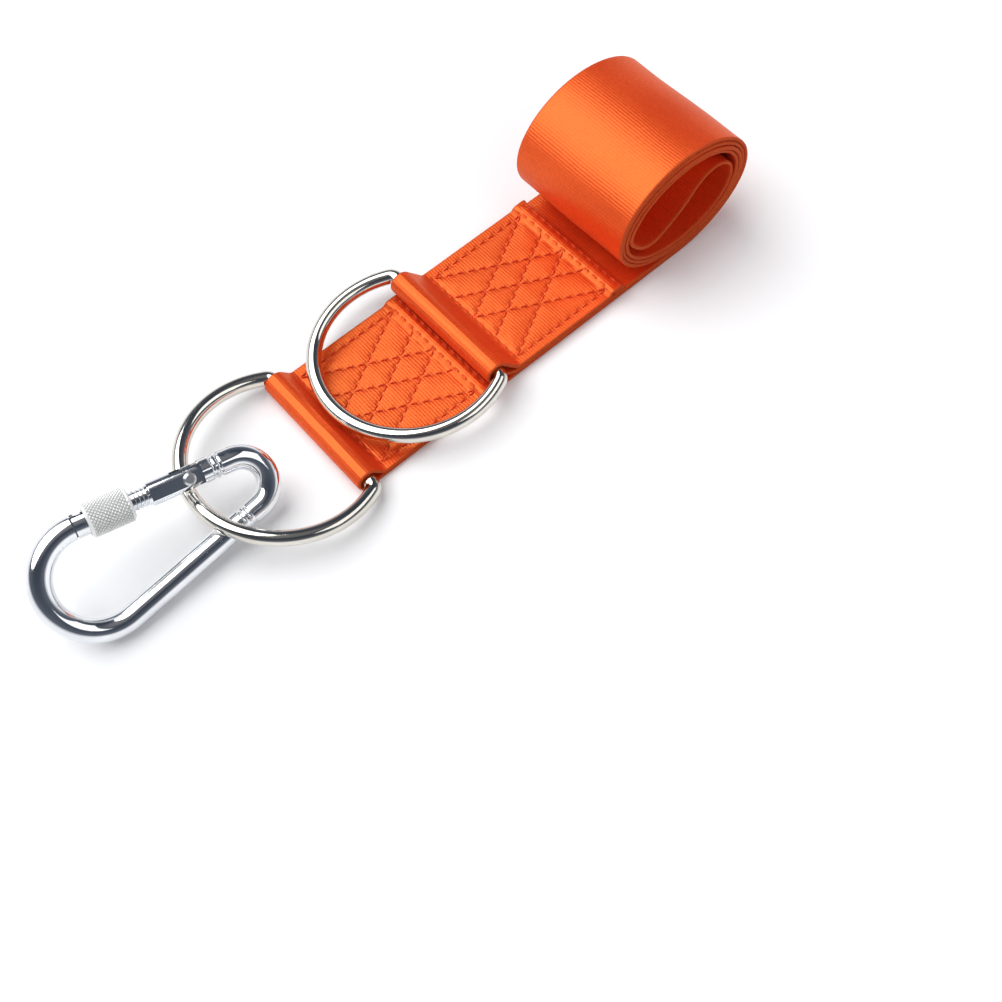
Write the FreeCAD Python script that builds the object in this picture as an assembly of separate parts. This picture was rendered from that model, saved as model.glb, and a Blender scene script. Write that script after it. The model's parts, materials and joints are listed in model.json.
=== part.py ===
"""Tree-swing hanging strap, rolled up: sewn webbing belt, two D-rings and a screw-lock carabiner.

Layout frame, in millimetres: +X runs along the strap from the carabiner to the roll, +Y across
the webbing and +Z up from the surface that the strap lies on. Everything is built there and is
moved at the end so that the origin is the middle of the bottom of the bounding box.
"""

import FreeCAD, Part
import math
import os

Vector = FreeCAD.Vector

# Webbing
WEB_WIDTH = 50.0
WEB_THICK = 1.3
PLY_GAP = 0.1                      # air between two plies that lie on each other
PLY_STEP = WEB_THICK + PLY_GAP

# D-rings: a straight bar closed by a round bow
RING_WIRE_R = 2.5
RING_BOW_R = 31.2                  # bow radius on the wire's centreline
RING_BOW_OFFSET = 15.2             # bar to bow centre
RING_CORNER_R = 3.0
LOOP_CLEARANCE = 0.3               # webbing loop to ring bar
LOWER_BAR = Vector(22.1, -0.6, 4.1)
UPPER_BAR = Vector(75.2, 0.7, 8.9)
LOWER_RING_TILT = 11.1             # degrees that the bow is raised above level
UPPER_RING_TILT = 0.0

# Sewn ends: the webbing goes round the bar, folds back over itself and ends in a narrow hem
LOWER_SEAM_START = 29.0            # nearest cross seam to the ring
UPPER_SEAM_START = 85.8
PATCH_LENGTH = 39.6                # seam to seam along the strap
PATCH_WIDTH = 43.0                 # seam to seam across the strap
HEM_LENGTH = 5.0
RAW_END = 0.9                      # the cut end stops inside the hem, this far past the last cross seam
LOOP_LEAVE_ANGLE = 52.0            # where the folded-back ply leaves the loop, from its top
LOOP_FILLET_R = 2.5
UPPER_TAIL_STEP = 9.5              # the tail comes down from the upper bar over this length

# Stitches
STITCH_PITCH = 3.8
STITCH_LENGTH = 3.1
STITCH_WIDTH = 0.75
STITCH_HEIGHT = 0.5
STITCH_SUNK = 0.25
STITCH_CHAMFER = 0.16

# Roll: both halves of the strap wound together from the fold in the middle
ROLL_X = 155.7
ROLL_Z = 23.5
ROLL_A = 28.97                     # half width of the pair's middle line where the winding starts
ROLL_B = ROLL_Z - WEB_THICK - PLY_GAP / 2
ROLL_PITCH = 2.9                   # shrink per turn
ROLL_STEP_DEG = 12
OUTER_END_DEG = 702                # the outer ply stays in the winding up to here
INNER_END_DEG = 534                # the inner ply leaves the winding here
# The fold in the hollow core, from the roll's centre: up the right side, over and down across it
CORE_ROUTE = [
    (22.7, -1.6), (22.0, 1.8), (19.6, 4.8), (16.2, 6.3), (12.2, 6.3), (8.2, 4.7), (4.2, 1.4),
    (0.0, -2.0), (-4.4, -4.6), (-8.8, -6.9), (-13.2, -8.0), (-17.6, -6.6), (-21.0, -3.2),
]

# Carabiner: two round ends joined by straight sides, the gate in one of them
BODY_WIRE_R = 3.8
BIG_BOW_R = 16.1
SMALL_BOW_R = 8.6
BOW_DISTANCE = 49.9
CARABINER_AT = Vector(-59.2, -1.46, 15.03)     # centre of the big bow
CARABINER_YAW = -2.7
CARABINER_PITCH = 3.3
CARABINER_TILT = 44.1

# Gate, along its own axis from where the big bow ends
NOSE_FACE = -0.65
GATE_FRONT = -0.15
GATE_HEAD_END = 4.5
NECK_END = 23.1
PIVOT = 35.3
EAR_R = 3.8
SHOULDER_FACE = 39.6
SWAGE_GROOVES = (43.1, 45.1)
SWAGE_GROOVE_R = 0.8
SWAGE_DEPTH = 0.5
GATE_FLAT = 3.3                    # half thickness across the flats
SLOT_FLOOR = 30.5
SLOT_HALF = 1.8
THREAD_R = 3.2
THREAD_ROOT_R = 2.7
THREAD_PITCH = 1.25
BORE_R = 1.45
BORE_END = 22.9

# T-shaped nose lug and the pocket that hooks over it
LUG_NECK_HALF = 1.1
LUG_HEAD_HALF = 2.0
LUG_HEAD_START = 1.35
LUG_HEAD_END = 3.0
LUG_LOW = -2.95
LUG_HIGH = 3.3
LUG_SIDE_CLEAR = 0.3
LUG_END_CLEAR = 0.5
LUG_SEAT_CLEAR = 0.05

# Tongue, rivet, plunger, spring and lock sleeve
TONGUE_HALF = 1.5
TONGUE_HEIGHT = 3.2
CAM_START_R = 3.3
CAM_RISE = 2.58                    # mm of plunger travel per radian of gate swing
CAM_FROM = -22.0
CAM_TO = 23.0
RIVET_R = 1.3
RIVET_CLEARANCE = 0.05
RIVET_HEAD_R = 2.0
RIVET_HEAD_HEIGHT = 0.5
RIVET_HEAD_GAP = 0.1
PLUNGER_R = 1.4
PLUNGER_CLEARANCE = 0.05
PLUNGER_BACK = 28.0
SPRING_WIRE_R = 0.17
SPRING_R = 1.05
SPRING_TURNS = 6
SLEEVE_FRONT = 3.6
SLEEVE_BACK = 17.2
SLEEVE_R = 5.4
SLEEVE_BORE_R = THREAD_R + 0.05
SLEEVE_MOUTH_R = 4.15
SLEEVE_MOUTH_DEPTH = 6.0
SLEEVE_CHAMFER = 0.7


# ---------------------------------------------------------------- webbing
# The belt's profile is a middle line in the XZ plane. Each stretch of that line is given as the
# two edges half a thickness to its left and to its right.

HALF = WEB_THICK / 2
NEAR_EDGE_Y = -WEB_WIDTH / 2


def at(x, z):
    return Vector(x, NEAR_EDGE_Y, z)


def straight(start, end):
    length = math.dist(start, end)
    dx = HALF * (end[1] - start[1]) / length
    dz = HALF * (end[0] - start[0]) / length
    return [
        Part.makeLine(at(start[0] - side * dx, start[1] + side * dz), at(end[0] - side * dx, end[1] + side * dz))
        for side in (1, -1)
    ]


def on_circle(centre, radius, degrees):
    angle = math.radians(degrees)
    return (centre[0] + radius * math.cos(angle), centre[1] + radius * math.sin(angle))


def bend(centre, radius, start, end):
    """Round a circle between two angles; growing angles turn to the left."""
    turn = 1 if end > start else -1
    edges = []
    for side in (1, -1):
        r = radius - side * turn * HALF
        points = [at(*on_circle(centre, r, degrees)) for degrees in (start, (start + end) / 2, end)]
        edges.append(Part.Arc(*points).toShape())
    return edges


def follow(curve, pieces, samples):
    """Along a free curve: both sides are drawn through points offset square to it."""
    stations = curve.discretize(Number=pieces * samples + 1)
    headings = [curve.tangent(curve.parameter(point))[0] for point in stations]
    stretches = []
    for first in range(0, pieces * samples, samples):
        last = first + samples
        edges = []
        for side in (1, -1):
            points = [
                point + Vector(-along.z, 0, along.x) * side * HALF
                for point, along in zip(stations[first:last + 1], headings[first:last + 1])
            ]
            line = Part.BSplineCurve()
            line.interpolate(
                Points=points, InitialTangent=headings[first], FinalTangent=headings[last], Scale=False
            )
            edges.append(line.toShape())
        stretches.append(edges)
    return stretches


def level_step(start, end):
    """A smooth S from one level to another, level at both ends."""
    reach = 0.45 * (end[0] - start[0])
    curve = Part.BezierCurve()
    curve.setPoles([at(*start), at(start[0] + reach, start[1]), at(end[0] - reach, end[1]), at(*end)])
    return follow(curve, 1, 10)


def sewn_end(bar, seam_start, tail_level):
    """From the raw end inside the hem, over the patch and round the bar to its lowest point."""
    centre = (bar.x, bar.z)
    radius = RING_WIRE_R + LOOP_CLEARANCE + HALF
    under = tail_level + PLY_STEP
    over = under + PLY_STEP
    hem_start = seam_start + PATCH_LENGTH
    hem_turn = hem_start + HEM_LENGTH - HALF - PLY_STEP / 2
    step_start = hem_start - 1.9
    step_end = hem_start + 0.6
    leave = 90.0 - LOOP_LEAVE_ANGLE
    slope = math.radians(LOOP_LEAVE_ANGLE)
    top = on_circle(centre, radius, leave)
    foot_z = under + LOOP_FILLET_R * (1 - math.cos(slope))
    foot_x = top[0] + (top[1] - foot_z) / math.tan(slope)
    fillet = (foot_x + LOOP_FILLET_R * math.sin(slope), under + LOOP_FILLET_R)
    return [
        straight((hem_start + RAW_END, under), (hem_turn, under)),
        bend((hem_turn, under + PLY_STEP / 2), PLY_STEP / 2, -90.0, 90.0),
        straight((hem_turn, over), (step_end, over)),
        *level_step((step_start, under), (step_end, over)),
        straight((step_start, under), (fillet[0], under)),
        bend(fillet, LOOP_FILLET_R, -90.0, -90.0 - LOOP_LEAVE_ANGLE),
        straight((foot_x, foot_z), top),
        bend(centre, radius, leave, 270.0),
    ]


def point_in_winding(degrees, side):
    """A ply's middle line in the roll; side is 1 for the outer ply and -1 for the inner ply."""
    angle = math.radians(degrees)
    shrink = ROLL_PITCH * (degrees + 90.0) / 360.0
    a = ROLL_A - shrink
    b = ROLL_B - shrink
    square = Vector(math.cos(angle) / a, 0, math.sin(angle) / b).normalize()
    offset = side * PLY_STEP / 2
    return at(ROLL_X + a * math.cos(angle) + offset * square.x, ROLL_Z + b * math.sin(angle) + offset * square.z)


def roll():
    """In along the outer ply, round the fold in the core and out along the inner ply."""
    outer = [point_in_winding(degrees, 1) for degrees in range(-90, OUTER_END_DEG + 1, ROLL_STEP_DEG)]
    core = [at(ROLL_X + x, ROLL_Z + z) for x, z in CORE_ROUTE]
    inner = [point_in_winding(degrees, -1) for degrees in range(-90, INNER_END_DEG + 1, ROLL_STEP_DEG)]
    curve = Part.BSplineCurve()
    level = Vector(1, 0, 0)
    curve.interpolate(
        Points=outer + core + inner[::-1], InitialTangent=level, FinalTangent=-level, Scale=False
    )
    return follow(curve, 12, 40)


LOWER_END = (LOWER_BAR, LOWER_SEAM_START, HALF)
UPPER_END = (UPPER_BAR, UPPER_SEAM_START, HALF + PLY_STEP)


def strap_stretches():
    """The whole strap from one raw end to the other, each stretch as its two side edges."""
    lower = LOWER_END[2]
    upper = UPPER_END[2]
    under_bar = UPPER_BAR.z - RING_WIRE_R - LOOP_CLEARANCE - HALF
    step_end = UPPER_BAR.x + UPPER_TAIL_STEP
    return [
        *sewn_end(*LOWER_END),
        straight((LOWER_BAR.x, lower), (ROLL_X, lower)),
        *roll(),
        straight((step_end, upper), (ROLL_X, upper)),
        *level_step((UPPER_BAR.x, under_bar), (step_end, upper)),
        *sewn_end(*UPPER_END),
    ]


def webbing_belt():
    outline = [edge for edges in strap_stretches() for edge in edges]
    for _, seam_start, tail_level in (LOWER_END, UPPER_END):
        x = seam_start + PATCH_LENGTH + RAW_END
        low = tail_level + PLY_STEP - HALF
        outline.append(Part.makeLine(at(x, low), at(x, low + WEB_THICK)))
    profile = Part.Face(Part.Wire(Part.__sortEdges__(outline)))
    return profile.extrude(Vector(0, WEB_WIDTH, 0))


def strap_length():
    """Along the middle line: the mean of the two sides."""
    return sum(edge.Length for edges in strap_stretches() for edge in edges) / 2


# ---------------------------------------------------------------- stitching

def patch_level(x, seam_start, tail_level):
    """Height of the upper face of the folded-back ply, which steps up over the hem."""
    face = tail_level + PLY_STEP + WEB_THICK / 2
    hem_start = seam_start + PATCH_LENGTH
    part = (x - (hem_start - 1.9)) / 2.5
    part = min(max(part, 0.0), 1.0)
    return face + PLY_STEP * (1 - math.cos(math.pi * part)) / 2


def stitch(start, end, low, high):
    """One stitch: a small bar, partly sunk in the webbing, its upper long edges eased."""
    along = end - start
    length = along.Length
    bar = Part.makeBox(length, STITCH_WIDTH, high - low, Vector(0, -STITCH_WIDTH / 2, low))
    upper = [edge for edge in bar.Edges if abs(edge.CenterOfMass.z - high) < 1e-6]
    bar = bar.makeChamfer(STITCH_CHAMFER, upper)
    side = Vector(0, 0, 1).cross(along)
    turn = FreeCAD.Rotation(along, side, Vector(0, 0, 1), "XYZ")
    bar.Placement = FreeCAD.Placement(start, turn)
    return bar


def seam(start, end, level, low=-STITCH_SUNK, high=STITCH_HEIGHT - STITCH_SUNK):
    """Stitches evenly spaced along one straight seam."""
    length = math.dist(start, end)
    count = max(1, round(length / STITCH_PITCH))
    pitch = length / count
    reach = STITCH_LENGTH / length
    stitches = []
    for i in range(count):
        first = (i * pitch + (pitch - STITCH_LENGTH) / 2) / length
        ends = []
        for part in (first, first + reach):
            x = start[0] + (end[0] - start[0]) * part
            y = start[1] + (end[1] - start[1]) * part
            ends.append(Vector(x, y, level(x)))
        stitches.append(stitch(*ends, low, high))
    return stitches


def one_group(stitches):
    """Stitches that cross are one solid; the rest stay separate solids."""
    joined_up = stitches[0].multiFuse(stitches[1:])
    return Part.makeCompound(joined_up.Solids)


def patch_seams(seam_start):
    """Ends of the seams: a box filled with two crossing zigzags."""
    def corner(along, across):
        return (seam_start + PATCH_LENGTH * along, PATCH_WIDTH * (across - 0.5))

    seams = [((0, 0), (0, 1)), ((1, 0), (1, 1)), ((0, 0), (1, 0)), ((0, 1), (1, 1))]
    for step in (0.0, 0.25, 0.5):
        seams.append(((0, step), (1, step + 0.5)))
        seams.append(((1, step), (0, step + 0.5)))
    return [(corner(*start), corner(*end)) for start, end in seams]


def patch_stitching(seam_start, tail_level):
    """The needle thread on top of the patch."""
    stitches = []
    for start, end in patch_seams(seam_start):
        stitches += seam(start, end, lambda along: patch_level(along, seam_start, tail_level))
    return one_group(stitches)


def underside_stitching():
    """The bobbin thread of the lower patch, pulled flush into the strap's underside."""
    stitches = []
    for start, end in patch_seams(LOWER_SEAM_START):
        stitches += seam(start, end, lambda along: 0.0, 0.0, STITCH_SUNK)
    return one_group(stitches)


def hem_stitching(seam_start, tail_level):
    """The seam that closes the hem, near its edge."""
    x = seam_start + PATCH_LENGTH + HEM_LENGTH - 1.7
    half = WEB_WIDTH / 2 - 2.0
    return one_group(seam((x, -half), (x, half), lambda along: patch_level(along, seam_start, tail_level)))


# ---------------------------------------------------------------- round wire

def wire_run(start, end, radius):
    along = end - start
    return Part.makeCylinder(radius, along.Length, start, along)


def wire_bend(centre, bend_radius, start, sweep, radius):
    """Wire bent in the XY plane about a centre, from one angle on through a sweep in degrees."""
    angle = math.radians(start)
    out = Vector(math.cos(angle), math.sin(angle), 0)
    heading = Vector(-out.y, out.x, 0)
    section = Part.Face(Part.Wire(Part.makeCircle(radius, centre + out * bend_radius, heading)))
    return section.revolve(centre, Vector(0, 0, 1), sweep)


def d_ring(bar, tilt):
    """Bar along Y, bow towards -X, the corners between them rounded."""
    inside = RING_BOW_R - RING_CORNER_R
    corner_x = -RING_CORNER_R
    corner_y = math.sqrt(inside ** 2 - (RING_BOW_OFFSET + corner_x) ** 2)
    bow_start = math.degrees(math.atan2(corner_y, RING_BOW_OFFSET + corner_x))
    pieces = [
        wire_run(Vector(0, -corner_y, 0), Vector(0, corner_y, 0), RING_WIRE_R),
        wire_bend(Vector(corner_x, corner_y, 0), RING_CORNER_R, 0, bow_start, RING_WIRE_R),
        wire_bend(Vector(-RING_BOW_OFFSET, 0, 0), RING_BOW_R, bow_start, 360 - 2 * bow_start, RING_WIRE_R),
        wire_bend(Vector(corner_x, -corner_y, 0), RING_CORNER_R, -bow_start, bow_start, RING_WIRE_R),
    ]
    ring = pieces[0].fuse(pieces[1:])
    ring.rotate(Vector(0, 0, 0), Vector(0, 1, 0), tilt)
    ring.translate(bar)
    return ring


# ---------------------------------------------------------------- carabiner
# Built flat: X from the big bow to the small bow, Y towards the gate, Z square to its plane.
# Gate pieces are built along X from the start of the gate line and then turned into place.

SIDE_SLOPE = math.asin((BIG_BOW_R - SMALL_BOW_R) / BOW_DISTANCE)
GATE_LINE_START = Vector(BIG_BOW_R * math.sin(SIDE_SLOPE), BIG_BOW_R * math.cos(SIDE_SLOPE), 0)
GATE_LINE_LENGTH = math.sqrt(BOW_DISTANCE ** 2 - (BIG_BOW_R - SMALL_BOW_R) ** 2)


def to_gate_line(shape):
    """From the gate's own axis to its place in the flat carabiner."""
    shape.rotate(Vector(0, 0, 0), Vector(0, 0, 1), -math.degrees(SIDE_SLOPE))
    shape.translate(GATE_LINE_START)
    return shape


def to_layout(shape):
    """From the flat carabiner to how it lies, propped on the ring."""
    turn = FreeCAD.Rotation(CARABINER_YAW, CARABINER_PITCH, CARABINER_TILT)
    shape.Placement = FreeCAD.Placement(CARABINER_AT, turn).multiply(shape.Placement)
    return shape


def rod(start, end, radius=BODY_WIRE_R):
    """A round bar along X between two distances."""
    return Part.makeCylinder(radius, end - start, Vector(start, 0, 0), Vector(1, 0, 0))


def block(x0, x1, y0, y1, z0, z1):
    return Part.makeBox(x1 - x0, y1 - y0, z1 - z0, Vector(x0, y0, z0))


def bent_bar():
    """From the nose round the big bow, along the spine and round the small bow to the hinge."""
    tangent = 90.0 - math.degrees(SIDE_SLOPE)
    nose = tangent - math.degrees(NOSE_FACE / BIG_BOW_R)
    small_centre = Vector(BOW_DISTANCE, 0, 0)
    low = Vector(math.sin(SIDE_SLOPE), -math.cos(SIDE_SLOPE), 0)
    along = Vector(math.cos(SIDE_SLOPE), -math.sin(SIDE_SLOPE), 0)
    hinge_end = GATE_LINE_START + along * GATE_LINE_LENGTH
    pieces = [
        wire_bend(Vector(0, 0, 0), BIG_BOW_R, nose, 360 - tangent - nose, BODY_WIRE_R),
        wire_run(low * BIG_BOW_R, small_centre + low * SMALL_BOW_R, BODY_WIRE_R),
        wire_bend(small_centre, SMALL_BOW_R, -tangent, 2 * tangent, BODY_WIRE_R),
        wire_run(hinge_end, GATE_LINE_START + along * SHOULDER_FACE, BODY_WIRE_R),
    ]
    return pieces[0].fuse(pieces[1:])


def cam_point(degrees):
    """A point of the tongue's end that keeps the plunger's round tip on a steady rise."""
    angle = math.radians(degrees)
    reach = CAM_START_R + PLUNGER_R + PLUNGER_CLEARANCE + CAM_RISE * angle
    size = math.hypot(reach, CAM_RISE)
    tip = PLUNGER_R + PLUNGER_CLEARANCE
    radial = reach - tip * reach / size
    sideways = tip * CAM_RISE / size
    x = PIVOT - radial * math.cos(angle) + sideways * math.sin(angle)
    y = -radial * math.sin(angle) - sideways * math.cos(angle)
    return Vector(x, y, -TONGUE_HALF)


def tongue():
    """Flat tongue that the gate's fork straddles, with the cam that works the plunger."""
    cam = Part.BSplineCurve()
    cam.interpolate([cam_point(CAM_FROM + (CAM_TO - CAM_FROM) * i / 8) for i in range(9)])
    high = Vector(PIVOT - 0.6, TONGUE_HEIGHT, -TONGUE_HALF)
    low = Vector(PIVOT - 1.6, -TONGUE_HEIGHT, -TONGUE_HALF)
    root_high = Vector(SHOULDER_FACE + 1.0, TONGUE_HEIGHT, -TONGUE_HALF)
    root_low = Vector(SHOULDER_FACE + 1.0, -TONGUE_HEIGHT, -TONGUE_HALF)
    outline = Part.Wire([
        cam.toShape(),
        Part.makeLine(cam_point(CAM_TO), low),
        Part.makeLine(low, root_low),
        Part.makeLine(root_low, root_high),
        Part.makeLine(root_high, high),
        Part.makeLine(high, cam_point(CAM_FROM)),
    ])
    plate = Part.Face(outline).extrude(Vector(0, 0, 2 * TONGUE_HALF))
    hole = Part.makeCylinder(RIVET_R, 20, Vector(PIVOT, 0, -10))
    return plate.cut(hole)


def nose_lug():
    """T-shaped hook on the nose, its outer corners rounded to the bar."""
    neck = block(NOSE_FACE - 0.8, LUG_HEAD_START, LUG_LOW, LUG_HIGH, -LUG_NECK_HALF, LUG_NECK_HALF)
    head = block(LUG_HEAD_START, LUG_HEAD_END, LUG_LOW, LUG_HIGH, -LUG_HEAD_HALF, LUG_HEAD_HALF)
    return neck.fuse(head).common(rod(NOSE_FACE - 0.8, LUG_HEAD_END, BODY_WIRE_R - 0.1))


def swage_grooves():
    """Round grooves left by the die that forms the small eye, a pair in each side of it."""
    grooves = []
    for x in SWAGE_GROOVES:
        ring_r = BODY_WIRE_R + SWAGE_GROOVE_R - SWAGE_DEPTH
        groove = to_gate_line(Part.makeTorus(ring_r, SWAGE_GROOVE_R, Vector(x, 0, 0), Vector(1, 0, 0)))
        grooves.extend([groove, groove.mirror(Vector(0, 0, 0), Vector(0, 1, 0))])
    return grooves


def carabiner_body():
    bar = bent_bar().cut(swage_grooves())
    hinge_end = to_gate_line(tongue())
    lug = to_gate_line(nose_lug())
    return bar.fuse([hinge_end, lug]).removeSplitter()


def thread_cutters():
    """V-shaped rings that leave the thread's crests on the neck."""
    cutters = []
    middle = GATE_HEAD_END + 1.0
    half = 0.42 * THREAD_PITCH
    while middle < NECK_END - half:
        points = [
            Vector(middle - half, THREAD_R + 0.02, 0), Vector(middle, THREAD_ROOT_R, 0),
            Vector(middle + half, THREAD_R + 0.02, 0), Vector(middle - half, THREAD_R + 0.02, 0),
        ]
        face = Part.Face(Part.makePolygon(points))
        cutters.append(face.revolve(Vector(0, 0, 0), Vector(1, 0, 0), 360))
        middle += THREAD_PITCH
    return cutters


def carabiner_gate():
    head = rod(GATE_FRONT, GATE_HEAD_END)
    neck = rod(GATE_HEAD_END, NECK_END, THREAD_R)
    grip = rod(NECK_END, PIVOT).fuse(Part.makeCylinder(EAR_R, 2 * BODY_WIRE_R, Vector(PIVOT, 0, -BODY_WIRE_R)))
    grip = grip.common(rod(NECK_END, PIVOT + EAR_R))
    grip = grip.common(block(NECK_END, PIVOT + EAR_R, -5, 5, -GATE_FLAT, GATE_FLAT))
    neck = neck.cut(thread_cutters())
    gate = head.fuse([neck, grip])
    seat = LUG_LOW - LUG_SEAT_CLEAR
    slot_half = LUG_NECK_HALF + LUG_SIDE_CLEAR
    pocket_half = LUG_HEAD_HALF + LUG_SIDE_CLEAR
    pocket_start = LUG_HEAD_START - LUG_END_CLEAR
    pocket_end = LUG_HEAD_END + LUG_END_CLEAR
    cuts = [
        block(GATE_FRONT - 1, pocket_start, seat, 6, -slot_half, slot_half),
        block(pocket_start, pocket_end, seat, 6, -pocket_half, pocket_half),
        block(SLOT_FLOOR, PIVOT + EAR_R + 1, -6, 6, -SLOT_HALF, SLOT_HALF),
        rod(BORE_END, SLOT_FLOOR + 0.5, BORE_R),
        Part.makeCylinder(RIVET_R + RIVET_CLEARANCE, 20, Vector(PIVOT, 0, -10)),
    ]
    return to_gate_line(gate.cut(cuts).removeSplitter())


def gate_rivet():
    face = GATE_FLAT + RIVET_HEAD_GAP
    rivet = Part.makeCylinder(RIVET_R, 2 * face, Vector(PIVOT, 0, -face))
    for side in (-1, 1):
        base = Vector(PIVOT, 0, side * face)
        head = Part.makeCone(RIVET_HEAD_R, 1.3, RIVET_HEAD_HEIGHT, base, Vector(0, 0, side))
        rivet = rivet.fuse(head)
    return to_gate_line(rivet.removeSplitter())


def gate_plunger():
    centre = PIVOT - CAM_START_R - PLUNGER_R - PLUNGER_CLEARANCE
    tip = Part.makeSphere(PLUNGER_R, Vector(centre, 0, 0))
    stem = rod(PLUNGER_BACK, centre, PLUNGER_R)
    return to_gate_line(stem.fuse(tip).removeSplitter())


def gate_spring():
    start = BORE_END + SPRING_WIRE_R + 0.03
    end = PLUNGER_BACK - SPRING_WIRE_R - 0.03
    height = end - start
    helix = Part.makeHelix(height / SPRING_TURNS, height, SPRING_R)
    section = Part.Wire(Part.makeCircle(SPRING_WIRE_R, Vector(SPRING_R, 0, 0), Vector(0, 1, 0)))
    spring = Part.Wire(helix.Edges).makePipeShell([section], True, True)
    spring.rotate(Vector(0, 0, 0), Vector(0, 1, 0), 90)
    spring.translate(Vector(start, 0, 0))
    return to_gate_line(spring)


def lock_sleeve():
    """Internally stepped: a wide mouth for the gate's head, then the threaded bore."""
    mouth_end = SLEEVE_FRONT + SLEEVE_MOUTH_DEPTH
    c = SLEEVE_CHAMFER
    outline = [
        (SLEEVE_FRONT, SLEEVE_MOUTH_R), (SLEEVE_FRONT, SLEEVE_R - c), (SLEEVE_FRONT + c, SLEEVE_R),
        (SLEEVE_BACK - c, SLEEVE_R), (SLEEVE_BACK, SLEEVE_R - c), (SLEEVE_BACK, SLEEVE_BORE_R),
        (mouth_end, SLEEVE_BORE_R), (mouth_end, SLEEVE_MOUTH_R), (SLEEVE_FRONT, SLEEVE_MOUTH_R),
    ]
    face = Part.Face(Part.makePolygon([Vector(x, y, 0) for x, y in outline]))
    return to_gate_line(face.revolve(Vector(0, 0, 0), Vector(1, 0, 0), 360))


# ---------------------------------------------------------------- all pieces

def build():
    pieces = {
        "webbing_belt": webbing_belt(),
        "lower_patch_stitching": patch_stitching(*LOWER_END[1:]),
        "lower_hem_stitching": hem_stitching(*LOWER_END[1:]),
        "underside_stitching": underside_stitching(),
        "upper_patch_stitching": patch_stitching(*UPPER_END[1:]),
        "upper_hem_stitching": hem_stitching(*UPPER_END[1:]),
        "lower_d_ring": d_ring(LOWER_BAR, LOWER_RING_TILT),
        "upper_d_ring": d_ring(UPPER_BAR, UPPER_RING_TILT),
        "carabiner_body": to_layout(carabiner_body()),
        "carabiner_gate": to_layout(carabiner_gate()),
        "gate_rivet": to_layout(gate_rivet()),
        "gate_plunger": to_layout(gate_plunger()),
        "gate_spring": to_layout(gate_spring()),
        "lock_sleeve": to_layout(lock_sleeve()),
    }
    whole = Part.makeCompound(list(pieces.values())).optimalBoundingBox(False)
    home = Vector(-(whole.XMin + whole.XMax) / 2, -(whole.YMin + whole.YMax) / 2, -whole.ZMin)
    for shape in pieces.values():
        shape.translate(home)
    return pieces, home


def main():
    os.makedirs("parts", exist_ok=True)
    pieces, home = build()
    print("layout frame to part frame:", home)
    print("strap length, mm:", round(strap_length(), 1))
    for name, shape in pieces.items():
        box = shape.optimalBoundingBox(False)
        print(name, "solids", len(shape.Solids), "valid", shape.isValid(), "mm3", round(shape.Volume, 1),
              "z", round(box.ZMin, 2), round(box.ZMax, 2))
        shape.exportStep("parts/" + name + ".step")


if __name__ == "__main__":
    main()
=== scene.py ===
import json
import math

import bpy
import numpy as np
from mathutils import Matrix, Vector


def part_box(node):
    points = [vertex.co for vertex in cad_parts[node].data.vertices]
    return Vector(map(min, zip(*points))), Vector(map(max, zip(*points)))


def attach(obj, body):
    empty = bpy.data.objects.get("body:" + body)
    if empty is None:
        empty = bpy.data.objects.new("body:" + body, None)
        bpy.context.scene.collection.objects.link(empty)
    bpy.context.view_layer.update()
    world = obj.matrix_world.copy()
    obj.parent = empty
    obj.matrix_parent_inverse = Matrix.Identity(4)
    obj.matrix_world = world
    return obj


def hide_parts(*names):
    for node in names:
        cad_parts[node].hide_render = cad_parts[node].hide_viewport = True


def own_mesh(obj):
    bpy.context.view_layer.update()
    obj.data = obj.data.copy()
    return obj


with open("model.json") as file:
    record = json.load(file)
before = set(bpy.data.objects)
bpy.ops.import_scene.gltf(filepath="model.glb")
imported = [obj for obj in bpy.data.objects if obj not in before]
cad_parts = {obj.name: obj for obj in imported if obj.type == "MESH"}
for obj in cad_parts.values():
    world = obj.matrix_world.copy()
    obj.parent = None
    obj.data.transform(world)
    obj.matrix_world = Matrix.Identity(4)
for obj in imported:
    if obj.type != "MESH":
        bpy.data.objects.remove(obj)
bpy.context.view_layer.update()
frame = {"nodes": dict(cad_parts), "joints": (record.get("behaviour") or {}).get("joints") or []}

MM = 0.001

# ---------------------------------------------------------------- dimensions, mm
# The strap's own frame: X from the carabiner to the roll, Y across, Z up from the floor.

WEB_WIDTH = 50.0
WEB_THICK = 1.3
PLY_STEP = 1.4
HALF = WEB_THICK / 2
LOOP_R = 3.45                      # loop's middle line round the ring bar
LOWER_BAR = (22.1, 4.1)
UPPER_BAR = (75.2, 8.9)
LOWER_SEAM_START = 29.0
UPPER_SEAM_START = 85.8
PATCH_LENGTH = 39.6
PATCH_WIDTH = 43.0
HEM_LENGTH = 5.0
HEM_STEP_BEFORE = 1.9              # the face climbs onto the hem from here, before the hem starts
HEM_STEP_AFTER = 0.6               # to here, past its start
HEM_SEAM_INSET = 1.7
HEM_SEAM_MARGIN = 2.0
RAW_END = 0.9
LEAVE_ANGLE = 52.0
FILLET_R = 2.5
UPPER_TAIL_STEP = 9.5
ROLL_X = 155.7
ROLL_Z = 23.5
ROLL_A = 28.97
ROLL_B = 22.15
ROLL_PITCH = 2.9
OUTER_END_DEG = 702
INNER_END_DEG = 534
TURN_STEP_DEG = 12
CORE_ROUTE = [
    (22.7, -1.6), (22.0, 1.8), (19.6, 4.8), (16.2, 6.3), (12.2, 6.3), (8.2, 4.7), (4.2, 1.4),
    (0.0, -2.0), (-4.4, -4.6), (-8.8, -6.9), (-13.2, -8.0), (-17.6, -6.6), (-21.0, -3.2),
]
RIB_PITCH = 1.0
WARP_PITCH = 0.46
ROLL_START_X = 118.0               # the roll's unevenness starts here
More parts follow.
